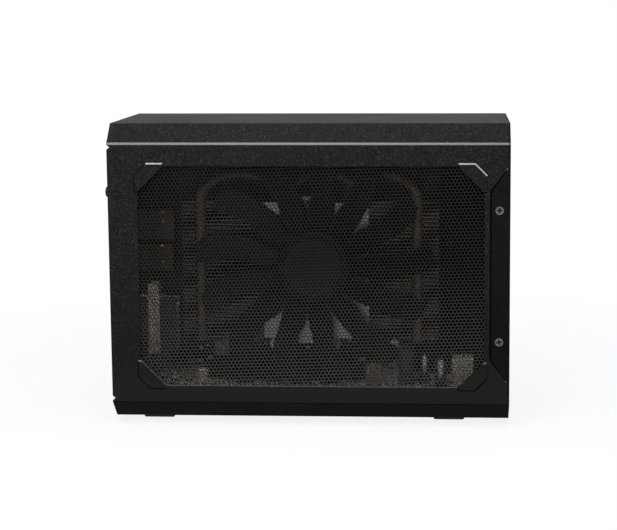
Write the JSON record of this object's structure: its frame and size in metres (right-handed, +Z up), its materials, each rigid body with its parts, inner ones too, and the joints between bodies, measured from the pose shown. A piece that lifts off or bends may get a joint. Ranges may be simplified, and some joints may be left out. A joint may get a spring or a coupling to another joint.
{
  "type": "external graphics card enclosure",
  "caption": "Black steel box with slanted long edges and perforated side windows, holding a fan-cooled graphics card, a power supply and a docking board with rear sockets.",
  "frame": {"origin": "middle of the footprint at the underside of the feet, the rear screw heads included", "axes": "+X from the rear sockets to the front panel, +Y from the card side to the supply side, +Z up"},
  "size_m": [0.214, 0.0976, 0.162],
  "materials": {
    "case_paint": "fine textured powder coat",
    "mesh_paint": "smooth black paint",
    "screw_steel": "nickel plated",
    "black_screw": "black oxide",
    "brass_post": "turned",
    "zinc_steel": "zinc coated",
    "foot_rubber": "matte",
    "supply_steel": "zinc coated",
    "board_laminate": "solder resist",
    "part_plastic": "wound and wrapped parts",
    "black_plastic": "satin moulding",
    "port_steel": "nickel plated",
    "socket_metal": "copper alloy shell",
    "capacitor_can": "satin can",
    "choke_body": "sintered",
    "fin_aluminium": "stamped sheet",
    "cream_plastic": "plain moulding",
    "bracket_steel": "nickel plated",
    "chip_body": "moulded package",
    "backplate_paint": "satin black",
    "bright_aluminium": "milled",
    "pipe_copper": "drawn copper",
    "fan_plastic": "satin moulding"
  },
  "bodies": {
    "case": {"case_sleeve": "case_paint", "front_panel": "case_paint", "rear_panel": "case_paint", "side_mesh_card": "mesh_paint", "side_mesh_supply": "mesh_paint", "panel_screws": "screw_steel", "rear_screws": "black_screw", "bracket_screws": "black_screw", "board_screws": "screw_steel", "board_standoffs": "brass_post", "chassis_tray": "zinc_steel", "supply_shelf": "case_paint", "feet": "foot_rubber", "supply_case": "supply_steel", "supply_cover": "supply_steel", "supply_board": "board_laminate", "supply_parts": "part_plastic", "supply_fan_frame": "black_plastic", "power_inlet": "black_plastic", "docking_board": "board_laminate", "card_slot": "black_plastic", "data_ports": "port_steel", "link_port": "port_steel", "board_capacitors": "capacitor_can", "board_chokes": "choke_body", "board_heatsink": "fin_aluminium", "board_headers": "cream_plastic", "board_power_socket": "cream_plastic", "card_board": "board_laminate", "card_bracket": "bracket_steel", "video_socket_upper": "socket_metal", "video_socket_middle": "socket_metal", "video_socket_lower": "port_steel", "video_socket_body": "cream_plastic", "graphics_chip": "chip_body", "memory_chips": "chip_body", "card_chokes": "choke_body", "card_capacitors": "capacitor_can", "card_backplate": "backplate_paint", "card_power_socket": "black_plastic", "cooler_base": "bright_aluminium", "fin_stack": "fin_aluminium", "heat_pipe_rear": "pipe_copper", "heat_pipe_middle": "pipe_copper", "heat_pipe_front": "pipe_copper", "fan_mount": "bright_aluminium", "fan_stator": "black_plastic"},
    "cooler_fan": {"fan_rotor": "fan_plastic"},
    "supply_fan": {"supply_fan_rotor": "black_plastic"}
  },
  "joints": [
    {"name": "cooler_fan_spin", "type": "hinge", "parent": "case", "child": "cooler_fan", "pos_m": [0.0029, -0.037, 0.0853], "axis": [0, -1, 0], "continuous": true},
    {"name": "supply_fan_spin", "type": "hinge", "parent": "case", "child": "supply_fan", "pos_m": [-0.092, 0.02125, 0.12], "axis": [1, 0, 0], "continuous": true}
  ]
}
